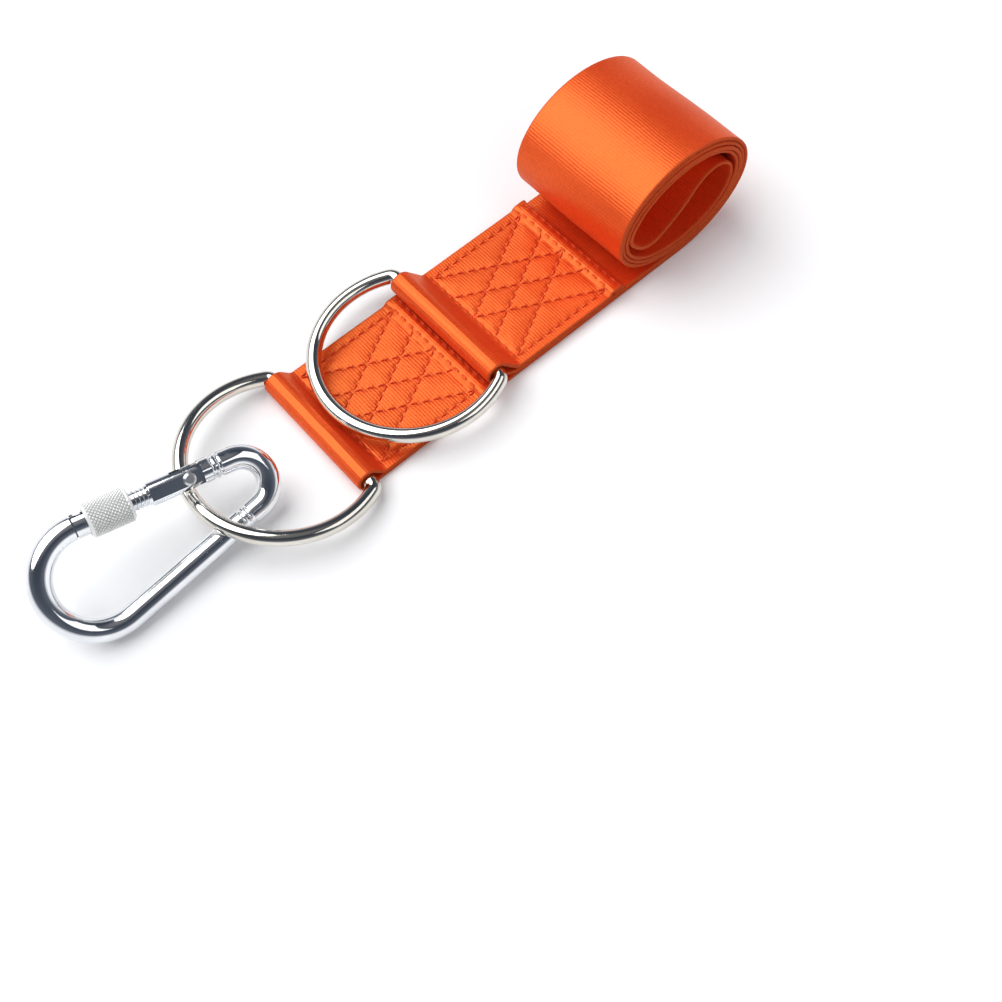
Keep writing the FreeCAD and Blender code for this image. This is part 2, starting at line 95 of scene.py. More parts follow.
WANDER_RAMP = 40.0                 # length over which the roll's plies start to wander sideways
WANDER_MARGIN = 20.0
UNDERSIDE = (26.0, 76.0)           # stretch of the base ply that the lower patch's seams mark
FACE_CLEARANCE = 0.03

ACROSS_POINTS = 117                # mesh points across each face of the webbing
SEWN_SPACING = 0.42                # and the spacing of its rows of points
BENT_SPACING = 0.7
PLAIN_SPACING = 1.5

STITCH_PITCH = 3.8
STITCH_LENGTH = 3.1
FURROW_DEPTH = 0.08                # narrow groove along a seam
FURROW_WIDTH = 0.8
PILLOW_DEPTH = 0.24                # wide dip that leaves the cloth between seams puffed up
PILLOW_WIDTH = 2.8
HOLE_DEPTH = 0.20                  # extra dip at each needle hole
HOLE_SPREAD = 0.42
THREAD_TWIST = 16.0                # radians along one stitch
THREAD_SINK = 0.03
UNDER_THREAD_SINK = 0.17

SLEEVE_LENGTH = 13.6
SLEEVE_R = 5.4
SLEEVE_MOUTH_R = 4.15
SLEEVE_BORE_R = 3.25
SLEEVE_MOUTH_DEPTH = 6.0
SLEEVE_CHAMFER = 0.7
SLEEVE_RIM = 0.15
KNURL_DIAMONDS = 27
KNURL_POINTS = 270                 # mesh points round the sleeve
KNURL_DEPTH = 0.34
KNURL_GROOVE = 0.34                # a groove's half width, as a share of the pitch
KNURL_FADE = 0.5
KNURL_ROWS = 97

SPRING_WIRE_R = 0.17
SPRING_R = 1.05
SPRING_TURNS = 6
SPRING_POINTS = 36                 # mesh points in each turn

FLOOR_HALF = 40.0                  # metres
FLOOR_GAP = 0.1

# The strap's path is made of runs. These are the numbers of some of them, counted from the lower end.
# The upper end has the same runs in mirrored order.
SEWN_FACE = 4
FOOT = 5
WRAP = 7
BASE_PLY = 8
ROLL = 9

belt_low, belt_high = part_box("webbing_belt")
ORIGIN = Vector((
    belt_low[0] - (LOWER_BAR[0] - LOOP_R - HALF) * MM,
    (belt_low[1] + belt_high[1]) / 2,
    belt_low[2],
))


def in_frame(points):
    """From the strap's own frame in millimetres to the part's frame in metres."""
    return np.asarray(points, float) * MM + np.array(ORIGIN)


# ---------------------------------------------------------------- the strap's middle line

def line(start, end):
    count = max(2, int(math.dist(start, end) / 0.2))
    t = np.linspace(0, 1, count + 1)[:, None]
    return np.array(start) * (1 - t) + np.array(end) * t


def arc(centre, radius, start, end):
    count = max(6, int(radius * math.radians(abs(end - start)) / 0.15))
    a = np.radians(np.linspace(start, end, count + 1))
    return np.stack([centre[0] + radius * np.cos(a), centre[1] + radius * np.sin(a)], 1)


def level_step(start, end):
    """A Bezier S from one level to another, level at both ends."""
    reach = 0.45 * (end[0] - start[0])
    poles = np.array([start, (start[0] + reach, start[1]), (end[0] - reach, end[1]), end])
    t = np.linspace(0, 1, 40)[:, None]
    weights = np.hstack([(1 - t) ** 3, 3 * t * (1 - t) ** 2, 3 * t ** 2 * (1 - t), t ** 3])
    return weights @ poles


def clamped_spline(points, first, last):
    """A smooth curve through the points with unit tangents given at its ends."""
    p = np.asarray(points, float)
    h = np.linalg.norm(np.diff(p, axis=0), axis=1)
    n = len(p)
    system = np.zeros((n, n))
    right = np.zeros((n, 2))
    system[0, 0] = system[-1, -1] = 1
    right[0] = first
    right[-1] = last
    for i in range(1, n - 1):
        system[i, i - 1:i + 2] = (h[i], 2 * (h[i - 1] + h[i]), h[i - 1])
        right[i] = 3 * (h[i] * (p[i] - p[i - 1]) / h[i - 1] + h[i - 1] * (p[i + 1] - p[i]) / h[i])
    slopes = np.linalg.solve(system, right)
    pieces = []
    for i in range(n - 1):
        t = np.linspace(0, 1, max(4, int(h[i] / 0.2)), endpoint=False)[:, None]
        pieces.append((2 * t ** 3 - 3 * t ** 2 + 1) * p[i] + (t ** 3 - 2 * t ** 2 + t) * h[i] * slopes[i]
                      + (3 * t ** 2 - 2 * t ** 3) * p[i + 1] + (t ** 3 - t ** 2) * h[i] * slopes[i + 1])
    return np.vstack(pieces + [p[-1:]])


def point_in_winding(degrees, side):
    """A point of the oval double spiral: side 1 is its outer ply, side -1 its inner ply."""
    angle = math.radians(degrees)
    shrink = ROLL_PITCH * (degrees + 90) / 360
    a = ROLL_A - shrink
    b = ROLL_B - shrink
    nx = math.cos(angle) / a
    nz = math.sin(angle) / b
    offset = side * PLY_STEP / 2 / math.hypot(nx, nz)
    return (ROLL_X + a * math.cos(angle) + offset * nx, ROLL_Z + b * math.sin(angle) + offset * nz)


def roll():
    """In along the outer ply, through the S of the core, and out along the inner ply."""
    outer = [point_in_winding(d, 1) for d in range(-90, OUTER_END_DEG + 1, TURN_STEP_DEG)]
    core = [(ROLL_X + x, ROLL_Z + z) for x, z in CORE_ROUTE]
    inner = [point_in_winding(d, -1) for d in range(-90, INNER_END_DEG + 1, TURN_STEP_DEG)]
    return clamped_spline(outer + core + inner[::-1], (1, 0), (-1, 0))


def sewn_end(bar, seam_start, tail_level):
    """From the raw end inside the hem, over the patch and round the bar to its lowest point."""
    under = tail_level + PLY_STEP
    over = under + PLY_STEP
    hem_start = seam_start + PATCH_LENGTH
    hem_turn = hem_start + HEM_LENGTH - HALF - PLY_STEP / 2
    step_foot = hem_start - HEM_STEP_BEFORE
    step_top = hem_start + HEM_STEP_AFTER
    slope = math.radians(LEAVE_ANGLE)
    leave = math.radians(90 - LEAVE_ANGLE)
    top = (bar[0] + LOOP_R * math.cos(leave), bar[1] + LOOP_R * math.sin(leave))
    foot_z = under + FILLET_R * (1 - math.cos(slope))
    foot_x = top[0] + (top[1] - foot_z) / math.tan(slope)
    fillet = (foot_x + FILLET_R * math.sin(slope), under + FILLET_R)
    return [
        line((hem_start + RAW_END, under), (hem_turn, under)),
        arc((hem_turn, under + PLY_STEP / 2), PLY_STEP / 2, -90, 90),
        line((hem_turn, over), (step_top, over)),
        level_step((step_foot, under), (step_top, over))[::-1],
        line((step_foot, under), (fillet[0], under)),
        arc(fillet, FILLET_R, -90, -90 - LEAVE_ANGLE),
        line((foot_x, foot_z), top),
        arc(bar, LOOP_R, 90 - LEAVE_ANGLE, 270),
    ]


def strap_path():
    """The whole strap's middle line, the length up to each of its points, and where each run ends."""
    upper = HALF + PLY_STEP
    lower_end = sewn_end(LOWER_BAR, LOWER_SEAM_START, HALF)
    upper_end = sewn_end(UPPER_BAR, UPPER_SEAM_START, upper)
    step_end = UPPER_BAR[0] + UPPER_TAIL_STEP
    pieces = lower_end + [
        line((LOWER_BAR[0], HALF), (ROLL_X, HALF)),
        roll(),
        line((ROLL_X, upper), (step_end, upper)),
        level_step((UPPER_BAR[0], UPPER_BAR[1] - LOOP_R), (step_end, upper))[::-1],
    ] + [piece[::-1] for piece in upper_end[::-1]]
    points = [pieces[0]]
    for piece in pieces[1:]:
        points.append(piece[1:])
    path = np.vstack(points)
    s = np.concatenate([[0], np.cumsum(np.linalg.norm(np.diff(path, axis=0), axis=1))])
    lengths = [np.linalg.norm(np.diff(piece, axis=0), axis=1).sum() for piece in pieces]
    ends = np.cumsum(lengths)
    return path, s, ends


# ---------------------------------------------------------------- seams, in (x, y) of the strap's own frame

def patch_seams(seam_start):
    """The box and the zigzags that cross in it."""
    def corner(along, across):
        return (seam_start + PATCH_LENGTH * along, PATCH_WIDTH * (across - 0.5))

    seams = [((0, 0), (0, 1)), ((1, 0), (1, 1)), ((0, 0), (1, 0)), ((0, 1), (1, 1))]
    for step in (0.0, 0.25, 0.5):
        seams.append(((0, step), (1, step + 0.5)))
        seams.append(((1, step), (0, step + 0.5)))
    return [(corner(*start), corner(*end)) for start, end in seams]


def hem_seam(seam_start):
    x = seam_start + PATCH_LENGTH + HEM_LENGTH - HEM_SEAM_INSET
    half = WEB_WIDTH / 2 - HEM_SEAM_MARGIN
    return [((x, -half), (x, half))]


def stitches(seams):
    """Start and end of every stitch on the seams."""
    found = []
    for start, end in seams:
        length = math.dist(start, end)
        count = max(1, round(length / STITCH_PITCH))
        pitch = length / count
        for i in range(count):
            first = (i * pitch + (pitch - STITCH_LENGTH) / 2) / length
            last = first + STITCH_LENGTH / length
            found.append([(start[0] + (end[0] - start[0]) * t, start[1] + (end[1] - start[1]) * t)
                          for t in (first, last)])
    return np.array(found)


def pucker(x, y, seam_start):
    """How far the sewn face sinks, in mm, and how much painted shade its needle holes get, from 0 to 1."""
    seams = patch_seams(seam_start) + hem_seam(seam_start)
    nearest = np.full(x.shape, 99.0)
    for (x0, y0), (x1, y1) in seams:
        length = math.hypot(x1 - x0, y1 - y0)
        t = np.clip(((x - x0) * (x1 - x0) + (y - y0) * (y1 - y0)) / length ** 2, 0, 1)
        nearest = np.minimum(nearest, np.hypot(x - x0 - t * (x1 - x0), y - y0 - t * (y1 - y0)))
    furrow = FURROW_DEPTH * np.exp(-(nearest / FURROW_WIDTH) ** 2)
    pillow = PILLOW_DEPTH * np.exp(-(nearest / PILLOW_WIDTH) ** 2)
    hole = np.zeros(x.shape)
    for hx, hy in stitches(seams).reshape(-1, 2):
        hole = np.maximum(hole, np.exp(-((x - hx) ** 2 + (y - hy) ** 2) / HOLE_SPREAD))
    return furrow + pillow + HOLE_DEPTH * hole, hole


# ---------------------------------------------------------------- mesh helpers

def quads_between(a, b):
    """Faces between two arrays of point numbers, closed round each row."""
    return np.stack([a, np.roll(a, -1, 1), np.roll(b, -1, 1), b], -1).reshape(-1, 4)


def tube_faces(rows, columns, flip=False):
    """Faces of a tube of points laid out in rows, with its two end caps."""
    index = np.arange(rows * columns).reshape(rows, columns)
    faces = quads_between(index[:-1], index[1:]).tolist()
    faces += [index[0].tolist()[::-1], index[-1].tolist()]
    return [face[::-1] for face in faces] if flip else faces


def smooth_mesh(name, vertices, faces, **values):
    """A smooth-shaded mesh with the given attributes on its points."""
    mesh = bpy.data.meshes.new(name)
    mesh.from_pydata(np.asarray(vertices).tolist(), [], faces)
    mesh.polygons.foreach_set("use_smooth", [True] * len(mesh.polygons))
    for key, data in values.items():
        data = np.asarray(data, np.float32)
        kind, field = ("FLOAT", "value") if data.ndim == 1 else ("FLOAT_VECTOR", "vector")
        mesh.attributes.new(key, kind, "POINT").data.foreach_set(field, data.ravel())
    mesh.update()
    return mesh


# ---------------------------------------------------------------- webbing

def station_spacing(s, ends):
    """Mesh spacing along the strap, in mm: finest on the sewn faces, fine where it is bent tight."""
    from_end = np.minimum(s, s[-1] - s)
    unsewn = np.where(from_end < ends[WRAP], BENT_SPACING, PLAIN_SPACING)
    return np.where(from_end < ends[SEWN_FACE], SEWN_SPACING, unsewn)


def belt_stations(s, ends):
    """Where along the strap its mesh has a row of points."""
    spacing = station_spacing(s, ends)
    rate = np.concatenate([[0], np.cumsum(np.diff(s) / spacing[1:])])
    count = int(rate[-1])
    return np.interp(np.linspace(0, rate[-1], count + 1), rate, s)


def roll_slack(points):
    """Hand-wound unevenness of the roll, the same for all its plies, in mm."""
    x, y, z = points[..., 0], points[..., 1], points[..., 2]
    share = np.clip((x - ROLL_START_X) / 12, 0, 1)
    rise = np.clip(z / 10, 0, 1)
    lift = 0.16 * np.sin(y / 13.0 + x / 23.0 + 0.7) + 0.08 * np.sin(y / 7.0 - z / 9.0)
    drift = 0.22 * np.sin(y / 17.0 + z / 15.0 + 2.1) + 0.10 * np.sin(y / 6.0 + x / 12.0)
    moved = points.copy()
    moved[..., 0] += share * rise * drift
    moved[..., 2] += share * rise * lift
    return moved


def webbing_mesh():
    """The whole strap as one closed mesh, and its length."""
    path, s, ends = strap_path()
    stations = belt_stations(s, ends)
    x = np.interp(stations, s, path[:, 0])
    z = np.interp(stations, s, path[:, 1])
    reach = 0.35
    ahead = np.minimum(stations + reach, s[-1])
    behind = np.maximum(stations - reach, 0)
    dx = np.interp(ahead, s, path[:, 0]) - np.interp(behind, s, path[:, 0])
    dz = np.interp(ahead, s, path[:, 1]) - np.interp(behind, s, path[:, 1])
    size = np.hypot(dx, dz)
    nx, nz = -dz / size, dx / size

    half = HALF - FACE_CLEARANCE
    flat = WEB_WIDTH / 2 - half
    wide = ACROSS_POINTS
    across = np.linspace(-flat, flat, wide)
    turn = np.radians(np.linspace(90, -90, 7)[1:-1])
    ring_y = np.concatenate([across, flat + half * np.cos(turn), across[::-1], -flat - half * np.cos(turn)])
    face = np.full(wide, half)
    ring_o = np.concatenate([face, half * np.sin(turn), -face, -half * np.sin(turn)])
    left = slice(0, wide)
    right = slice(wide + len(turn), 2 * wide + len(turn))

    offset = np.repeat(ring_o[None, :], len(stations), 0)
    # Painted shade at the needle holes, kept in the hole attribute.
    painted_hole_shade = np.zeros(offset.shape)
    # Along the lower end the sewn upper face is the strap's right side, along the upper end its left.
    lower_patch = stations < ends[FOOT]
    upper_patch = stations > ends[-1] - ends[FOOT]
    base_ply = (stations > ends[WRAP]) & (z < WEB_THICK)
    under_patch = base_ply & (x > UNDERSIDE[0]) & (x < UNDERSIDE[1])
    for mask, side, seam_start, sign in (
        (lower_patch, right, LOWER_SEAM_START, 1), (upper_patch, left, UPPER_SEAM_START, -1),
        (under_patch, right, LOWER_SEAM_START, 1),
    ):
        grid_x, grid_y = np.meshgrid(x[mask], ring_y[side], indexing="ij")
        sink, hole = pucker(grid_x, grid_y, seam_start)
        place = np.ix_(mask, range(side.start, side.stop))
        offset[place] += sign * sink
        painted_hole_shade[place] = hole

    wander = 0.30 * np.sin(stations / 37.0) + 0.22 * np.sin(stations / 14.3 + 1.0)
    into_roll = np.clip((stations - ends[BASE_PLY] - WANDER_MARGIN) / WANDER_RAMP, 0, 1)
    out_of_roll = np.clip((ends[ROLL] - WANDER_MARGIN - stations) / WANDER_RAMP, 0, 1)
    points = np.stack([
        x[:, None] + offset * nx[:, None],
        ring_y[None, :] + (wander * into_roll * out_of_roll)[:, None],
        z[:, None] + offset * nz[:, None],
    ], -1)
    points = roll_slack(points)

    rows, columns = points.shape[:2]
    weave = np.stack([
        np.repeat(stations[:, None], columns, 1),
        np.repeat(ring_y[None, :], rows, 0),
        np.repeat((ring_o / half)[None, :], rows, 0),
    ], -1)
    mesh = smooth_mesh("webbing", in_frame(points.reshape(-1, 3)), tube_faces(rows, columns),
                       weave=weave.reshape(-1, 3), hole=painted_hole_shade.ravel())
    return mesh, s[-1]


# ---------------------------------------------------------------- node helpers

class Nodes:
    """Short ways to add and link shader nodes."""

    def __init__(self, tree):
        self.tree = tree
        tree.nodes.clear()

    def add(self, kind, **settings):
        node = self.tree.nodes.new(kind)
        for name, value in settings.items():
            if name.startswith("in_"):
                key = name[3:].replace("_", " ")
                node.inputs[int(key) if key.isdigit() else key].default_value = value
            else:
                setattr(node, name, value)
        return node

    def link(self, source, target):
        self.tree.links.new(source, target)

    def math(self, operation, a, b=None, c=None):
        node = self.add("ShaderNodeMath", operation=operation)
        for socket, value in zip(node.inputs, (a, b, c)):
            if value is None:
                continue
            if isinstance(value, (int, float)):
                socket.default_value = value
            else:
                self.link(value, socket)
        return node.outputs[0]

    def mix(self, factor, a, b):
        node = self.add("ShaderNodeMix", data_type="RGBA")
        for socket, value in zip((node.inputs[0], node.inputs[6], node.inputs[7]), (factor, a, b)):
            if isinstance(value, (int, float, tuple)):
                socket.default_value = value
            else:
                self.link(value, socket)
        return node.outputs[2]

    def ramp(self, value, stops):
        node = self.add("ShaderNodeValToRGB")
        node.color_ramp.interpolation = "EASE"
        elements = node.color_ramp.elements
        while len(elements) < len(stops):
            elements.new(0.5)
        for element, (position, colour) in zip(elements, stops):
            element.position = position
            element.color = (*colour, 1)
        self.link(value, node.inputs[0])
        return node.outputs[0]

    def noise(self, vector, scale, detail=2.0, roughness=0.5):
        node = self.add("ShaderNodeTexNoise", in_Scale=scale, in_Detail=detail, in_Roughness=roughness)
        self.link(vector, node.inputs["Vector"])
        return node.outputs["Fac"]

    def stretched(self, vector, scale):
        node = self.add("ShaderNodeMapping", vector_type="POINT", in_Scale=scale)
        self.link(vector, node.inputs["Vector"])
        return node.outputs[0]

    def bump(self, height, strength, distance):
        node = self.add("ShaderNodeBump", in_Strength=strength, in_Distance=distance)
        self.link(height, node.inputs["Height"])
        return node.outputs["Normal"]

    def wave(self, value, pitch):
        """A sine of the value, from 0 to 1."""
        sine = self.math("SINE", self.math("MULTIPLY", value, 2 * math.pi / pitch))
        return self.math("MULTIPLY_ADD", sine, 0.5, 0.5)


def material(name):
    """A new material, its nodes and its Principled shader."""
    mat = bpy.data.materials.new(name)
    mat.use_nodes = True
    nodes = Nodes(mat.node_tree)
    shader = nodes.add("ShaderNodeBsdfPrincipled")
    out = nodes.add("ShaderNodeOutputMaterial")
    nodes.link(shader.outputs[0], out.inputs[0])
    return mat, nodes, shader


# ---------------------------------------------------------------- materials

def webbing_material():
    """Ribbed polyester: cross ribs about 1 mm apart, fine warp threads over them, selvedges darkened by
    painted shade.
    """
    mat, n, shader = material("webbing")
    weave = n.add("ShaderNodeAttribute", attribute_name="weave")
    split = n.add("ShaderNodeSeparateXYZ")
    n.link(weave.outputs["Vector"], split.inputs[0])
    along, across, _ = split.outputs
    place = n.add("ShaderNodeTexCoord").outputs["Object"]

    slow = n.noise(weave.outputs["Vector"], 0.11, 3.0)
    wavy = n.math("ADD", along, n.math("MULTIPLY", n.math("SUBTRACT", slow, 0.5), 0.5))
    rib = n.wave(wavy, RIB_PITCH)
    shift = n.math("MULTIPLY", slow, 3.0)
    thread = n.math("SINE", n.math("MULTIPLY_ADD", across, 2 * math.pi / WARP_PITCH, shift))
    thread = n.math("MULTIPLY_ADD", thread, 0.5, 0.5)
    height = n.math("MULTIPLY_ADD", thread, 0.30, n.math("POWER", rib, 0.7))
    fuzz = n.noise(place, 5200.0, 2.0)
    height = n.math("MULTIPLY_ADD", fuzz, 0.30, height)

    patches = n.noise(place, 42.0, 3.0)
    streak = n.noise(n.stretched(weave.outputs["Vector"], (0.012, 0.55, 1.0)), 1.0, 3.0)
    base = n.ramp(patches, [
        (0.30, (0.68, 0.044, 0.009)), (0.50, (0.76, 0.060, 0.012)), (0.72, (0.84, 0.082, 0.017)),
    ])
    base = n.mix(n.math("MULTIPLY", streak, 0.30), base, (0.62, 0.034, 0.007, 1))
    grain = n.noise(n.stretched(weave.outputs["Vector"], (0.45, 2.4, 1.0)), 1.0, 2.0, 0.7)
    dark_grain = n.ramp(grain, [(0.40, (0, 0, 0)), (0.66, (0.66, 0.66, 0.66))])
    base = n.mix(dark_grain, base, (0.50, 0.024, 0.005, 1))
    # Painted shade: the base colour darkens in the grooves between the ribs.
    rib_groove_shade = n.math("MULTIPLY", n.math("SUBTRACT", 1.0, n.math("POWER", rib, 0.6)), 0.50)
    base = n.mix(rib_groove_shade, base, (0.50, 0.026, 0.006, 1))
    # Painted shade: the base colour darkens along the selvedges, which are also rougher.
    edge = n.math("SUBTRACT", n.math("ABSOLUTE", across), WEB_WIDTH / 2 - 0.9)
    edge = n.math("MINIMUM", n.math("MAXIMUM", edge, 0.0), 1.0)
    base = n.mix(n.math("MULTIPLY", edge, 0.90), base, (0.22, 0.014, 0.008, 1))
    # Painted shade: the base colour darkens at the needle holes.
    hole = n.add("ShaderNodeAttribute", attribute_name="hole").outputs["Fac"]
    base = n.mix(n.math("MULTIPLY", hole, 0.75), base, (0.40, 0.014, 0.005, 1))
    n.link(base, shader.inputs["Base Color"])

    rough = n.math("MULTIPLY_ADD", patches, 0.14, 0.22)
    rough = n.math("MULTIPLY_ADD", grain, 0.16, rough)
    n.link(n.math("MULTIPLY_ADD", edge, 0.45, rough), shader.inputs["Roughness"])
    shader.inputs["IOR"].default_value = 2.2
    shader.inputs["Specular IOR Level"].default_value = 1.0
    shader.inputs["Specular Tint"].default_value = (1.0, 0.27, 0.065, 1)
    shader.inputs["Sheen Weight"].default_value = 0.06
    shader.inputs["Sheen Roughness"].default_value = 0.4
    shader.inputs["Sheen Tint"].default_value = (1.0, 0.40, 0.15, 1)
    n.link(n.bump(height, 0.45, 0.00009), shader.inputs["Normal"])
    return mat


def thread_material():
    """Twisted polyester sewing thread, a shade darker than the webbing."""
    mat, n, shader = material("thread")
    twist = n.add("ShaderNodeAttribute", attribute_name="twist").outputs["Fac"]
    place = n.add("ShaderNodeTexCoord").outputs["Object"]
    strand = n.math("MULTIPLY_ADD", n.math("SINE", twist), 0.5, 0.5)
    tone = n.noise(place, 260.0, 2.0)
    base = n.ramp(tone, [(0.3, (0.70, 0.056, 0.016)), (0.7, (0.84, 0.088, 0.026))])
    # Painted shade: the base colour darkens in the grooves between the twisted strands.
    base = n.mix(n.math("MULTIPLY", n.math("SUBTRACT", 1.0, strand), 0.35), base, (0.44, 0.024, 0.009, 1))
    n.link(base, shader.inputs["Base Color"])
    shader.inputs["Roughness"].default_value = 0.5
    shader.inputs["Specular Tint"].default_value = (1.0, 0.5, 0.25, 1)
    n.link(n.bump(strand, 0.7, 0.00008), shader.inputs["Normal"])
    return mat


def plated_material(name, light, dark, roughness, wear, metallic=1.0, painted_shade_attribute=None):
    """Plated steel: faint draw marks, cloudy plating and fine scuffs in its gloss."""
    mat, n, shader = material(name)
    place = n.add("ShaderNodeTexCoord").outputs["Object"]
    cloud = n.noise(place, 70.0, 4.0, 0.6)
    scuff = n.noise(n.stretched(place, (900.0, 140.0, 900.0)), 1.0, 3.0, 0.6)
    grain = n.noise(place, 2600.0, 2.0)
    base = n.mix(n.ramp(cloud, [(0.35, (0, 0, 0)), (0.70, (1, 1, 1))]), dark, light)
    # Painted shade: with an attribute given, the base colour darkens where it is high, such as in the
    # knurl's grooves.
    if painted_shade_attribute:
        depth = n.add("ShaderNodeAttribute", attribute_name=painted_shade_attribute).outputs["Fac"]
        base = n.mix(n.math("MULTIPLY", depth, 0.7), base, (0.24, 0.25, 0.24, 1))
    n.link(base, shader.inputs["Base Color"])
    shader.inputs["Metallic"].default_value = metallic
    marks = n.ramp(scuff, [(0.52, (0, 0, 0)), (0.74, (1, 1, 1))])
    rough = n.math("MULTIPLY_ADD", marks, wear, roughness)
    rough = n.math("MULTIPLY_ADD", cloud, wear * 0.8, rough)
    n.link(rough, shader.inputs["Roughness"])
    height = n.math("MULTIPLY_ADD", grain, 0.4, cloud)
    n.link(n.bump(height, 0.12, 0.00006), shader.inputs["Normal"])
    return mat


def floor_material():
    """Matt pale paper with a faint unevenness."""
    mat, n, shader = material("floor")
    place = n.add("ShaderNodeTexCoord").outputs["Object"]
    tone = n.noise(place, 3.0, 2.0)
    base = n.ramp(tone, [(0.3, (0.905, 0.905, 0.910)), (0.7, (0.925, 0.925, 0.925))])
    n.link(base, shader.inputs["Base Color"])
    shader.inputs["Roughness"].default_value = 0.75
    shader.inputs["Specular IOR Level"].default_value = 0.2
    return mat


# ---------------------------------------------------------------- pieces

def new_object(name, mesh, mat, body, nodes):
    """A finished piece that rides on a body and stands for CAD nodes."""
    obj = bpy.data.objects.new(name, mesh)
    bpy.context.scene.collection.objects.link(obj)
    obj.data.materials.clear()
    obj.data.materials.append(mat)
    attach(obj, body)
    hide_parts(*nodes)
    return obj


def patch_level(x, seam_start, tail_level):
    """Height of the sewn face, up the step onto the hem."""
    face = tail_level + PLY_STEP + HALF
    step_foot = seam_start + PATCH_LENGTH - HEM_STEP_BEFORE
    t = np.clip((x - step_foot) / (HEM_STEP_BEFORE + HEM_STEP_AFTER), 0, 1)
    return face + PLY_STEP * (1 - np.cos(np.pi * t)) / 2


def thread_mesh(name, runs, level, below=False):
    """Every stitch as a short twisted thread that dips into the webbing at both ends."""
    arch = np.array([-0.45, -0.08, 0.16, 0.24, 0.26, 0.24, 0.16, -0.08, -0.45])
    radius = np.array([0.20, 0.25, 0.28, 0.29, 0.29, 0.29, 0.28, 0.25, 0.20])
    share = np.linspace(0, 1, len(arch))[:, None]
    ring = np.linspace(0, 2 * np.pi, 8, endpoint=False)[None, :]
    out = radius[:, None] * np.cos(ring)
    rise = radius[:, None] * 0.8 * np.sin(ring) + arch[:, None]
    turned = (ring + share * THREAD_TWIST).ravel()
    one_stitch = tube_faces(*out.shape, flip=not below)
    vertices, faces, twists = [], [], []
    for start, end in stitches(runs):
        along = (end - start) / np.linalg.norm(end - start)
        centre = start + (end - start) * share
        x = centre[:, :1] - along[1] * out
        y = centre[:, 1:] + along[0] * out
        base = level(centre[:, 0], centre[:, 1])[:, None]
        z = base - rise if below else base + rise
        first = len(vertices) * out.size
        vertices.append(np.stack([x, y, z], -1).reshape(-1, 3))
        faces += [[first + i for i in face] for face in one_stitch]
        twists.append(turned)
    return smooth_mesh(name, in_frame(np.vstack(vertices)), faces, twist=np.concatenate(twists))


def add_threads(mat):
    """The threads of both patches and hems, and the lower patch's on the strap's underside."""
    for end, seam_start, tail_level in (
        ("lower", LOWER_SEAM_START, HALF), ("upper", UPPER_SEAM_START, HALF + PLY_STEP)
    ):
        def level(x, y):
            return patch_level(x, seam_start, tail_level) - pucker(x, y, seam_start)[0] - THREAD_SINK

        for part, runs in (("patch", patch_seams(seam_start)), ("hem", hem_seam(seam_start))):
            node = f"{end}_{part}_stitching"
            mesh = thread_mesh(node, runs, level)
            new_object(f"{end}_{part}_thread", mesh, mat, "strap", [node])

    def under(x, y):
        return UNDER_THREAD_SINK + pucker(x, y, LOWER_SEAM_START)[0]

    mesh = thread_mesh("underside", patch_seams(LOWER_SEAM_START), under, below=True)
    new_object("underside_thread", mesh, mat, "strap", ["underside_stitching"])


def sleeve_mesh():
    """The screw sleeve round X, its front at 0: points, faces, and the knurl's depth at each point."""
    edge_r = SLEEVE_R - SLEEVE_CHAMFER
    knurl_end = SLEEVE_LENGTH - SLEEVE_CHAMFER
    profile = [(0, SLEEVE_MOUTH_R), (0, edge_r - SLEEVE_RIM), (SLEEVE_RIM, edge_r)]
    profile += [(x, SLEEVE_R) for x in np.linspace(SLEEVE_CHAMFER, knurl_end, KNURL_ROWS)]
    profile += [
        (SLEEVE_LENGTH - SLEEVE_RIM, edge_r), (SLEEVE_LENGTH, edge_r - SLEEVE_RIM),
        (SLEEVE_LENGTH, SLEEVE_BORE_R), (SLEEVE_MOUTH_DEPTH, SLEEVE_BORE_R),
        (SLEEVE_MOUTH_DEPTH, SLEEVE_MOUTH_R),
    ]
    x, r = np.array(profile).T[:, :, None]
    turn = np.linspace(0, 1, KNURL_POINTS, endpoint=False)[None, :]
    pitch = 2 * np.pi * SLEEVE_R / KNURL_DIAMONDS
    u = KNURL_DIAMONDS * turn + x / pitch
    v = KNURL_DIAMONDS * turn - x / pitch
    valley = np.minimum(np.abs(u - np.round(u)), np.abs(v - np.round(v)))
    fade = np.clip(np.minimum(x - SLEEVE_CHAMFER, knurl_end - x) / KNURL_FADE, 0, 1)
    knurled = (np.abs(r - SLEEVE_R) < 1e-6) * fade
    cut = (1 - np.clip(valley / KNURL_GROOVE, 0, 1)) ** 1.2 * knurled
    r = r - KNURL_DEPTH * cut
    angle = 2 * np.pi * turn
    points = np.stack([np.repeat(x, KNURL_POINTS, 1), r * np.cos(angle), r * np.sin(angle)], -1)
    index = np.arange(cut.size).reshape(cut.shape)
    quads = quads_between(index, np.roll(index, -1, 0))
    return points.reshape(-1, 3), quads[:, ::-1], cut.ravel()


def joint_axis(name):
    """The joint's direction, and the turn from X to it."""
    axis = next(j["axis"] for j in frame["joints"] if j["name"] == name)
    along = Vector(axis).normalized()
    return along, np.array(along.to_track_quat("X", "Z").to_matrix())


def node_points(name):
    return np.array([v.co for v in frame["nodes"][name].data.vertices])


def add_sleeve(mat):
    """Along the sleeve joint's axis, centred where the CAD sleeve is."""
    points, quads, knurl_depth = sleeve_mesh()
    _, turn = joint_axis("sleeve_slide")
    vertices = node_points("lock_sleeve")
    centre = (vertices.min(0) + vertices.max(0)) / 2
    points = (points - np.array([SLEEVE_LENGTH / 2, 0, 0])) * MM @ turn.T + centre
    mesh = smooth_mesh("sleeve", points, quads.tolist(), knurl_depth=knurl_depth)
    mesh.set_sharp_from_angle(angle=math.radians(40))
    new_object("knurled_sleeve", mesh, mat, "sleeve", ["lock_sleeve"])


